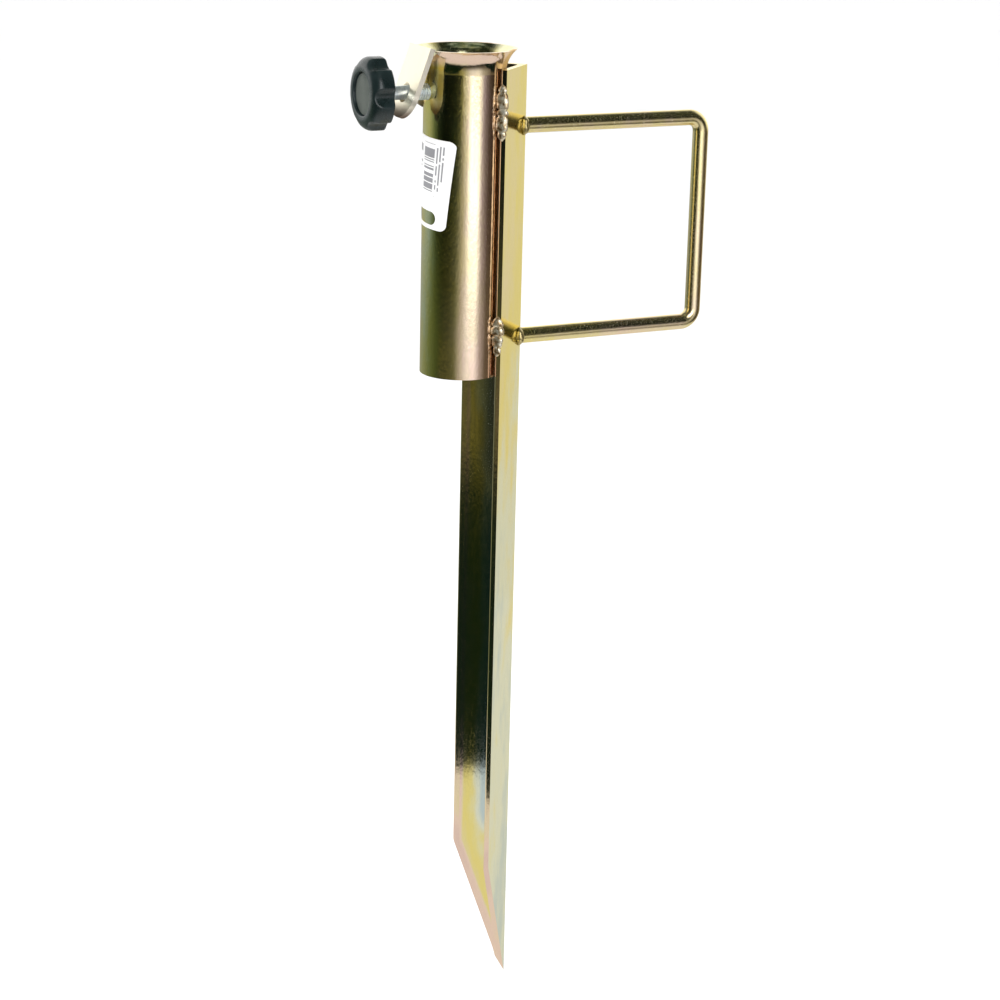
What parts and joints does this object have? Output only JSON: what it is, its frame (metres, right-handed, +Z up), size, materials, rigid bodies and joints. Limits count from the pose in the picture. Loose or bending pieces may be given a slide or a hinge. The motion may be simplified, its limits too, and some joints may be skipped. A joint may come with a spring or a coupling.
{
  "type": "post anchor spike",
  "caption": "Ground spike for a pole: a round socket tube with flared mouth, an angle-section spike, a bent rod handle and a knob screw that clamps the pole",
  "frame": {"origin": "centre of the socket bore at its lower end, which is about ground level in use", "axes": "+Z up along the bore and against the spike's point, +X towards the carrying handle, -X towards the clamp knob, XZ is the plane the handle lies in"},
  "size_m": [0.1912, 0.0504, 0.5014],
  "materials": {
    "plated_steel": "yellow passivated zinc plating over mild steel, glossy with pink and green interference tints",
    "weld_metal": "rippled weld bead, plated over with the rest",
    "label_paper": "white paper sticker with plain grey bars and lines, no lettering",
    "screw_zinc": "bright zinc plated steel",
    "knob_plastic": "black moulded plastic with fine grain",
    "cap_plastic": "dark grey matte plastic cover disc"
  },
  "bodies": {
    "spike": {"socket_tube": "plated_steel", "angle_spike": "plated_steel", "handle": "plated_steel", "clamp_bracket": "plated_steel", "weld_tube_upper_near": "weld_metal", "weld_tube_upper_far": "weld_metal", "weld_tube_lower_near": "weld_metal", "weld_tube_lower_far": "weld_metal", "weld_handle_upper": "weld_metal", "weld_handle_lower": "weld_metal", "weld_bracket": "weld_metal", "label": "label_paper"},
    "cap_carrier": {"knob_cap": "cap_plastic"},
    "knob": {"knob_body": "knob_plastic", "clamp_screw": "screw_zinc"}
  },
  "joints": [
    {"name": "clamp_feed", "type": "slide", "parent": "spike", "child": "cap_carrier", "axis": [1, 0, 0], "range_m": [-0.00125, 0.00625]},
    {"name": "knob_turn", "type": "hinge", "parent": "cap_carrier", "child": "knob", "pos_m": [-0.0513, 0, 0.1395], "axis": [1, 0, 0], "range_deg": [-360, 1800]}
  ],
  "couplings": [
    {"joint": "clamp_feed", "follows": "knob_turn", "m_per_rad": 0.00019894}
  ]
}
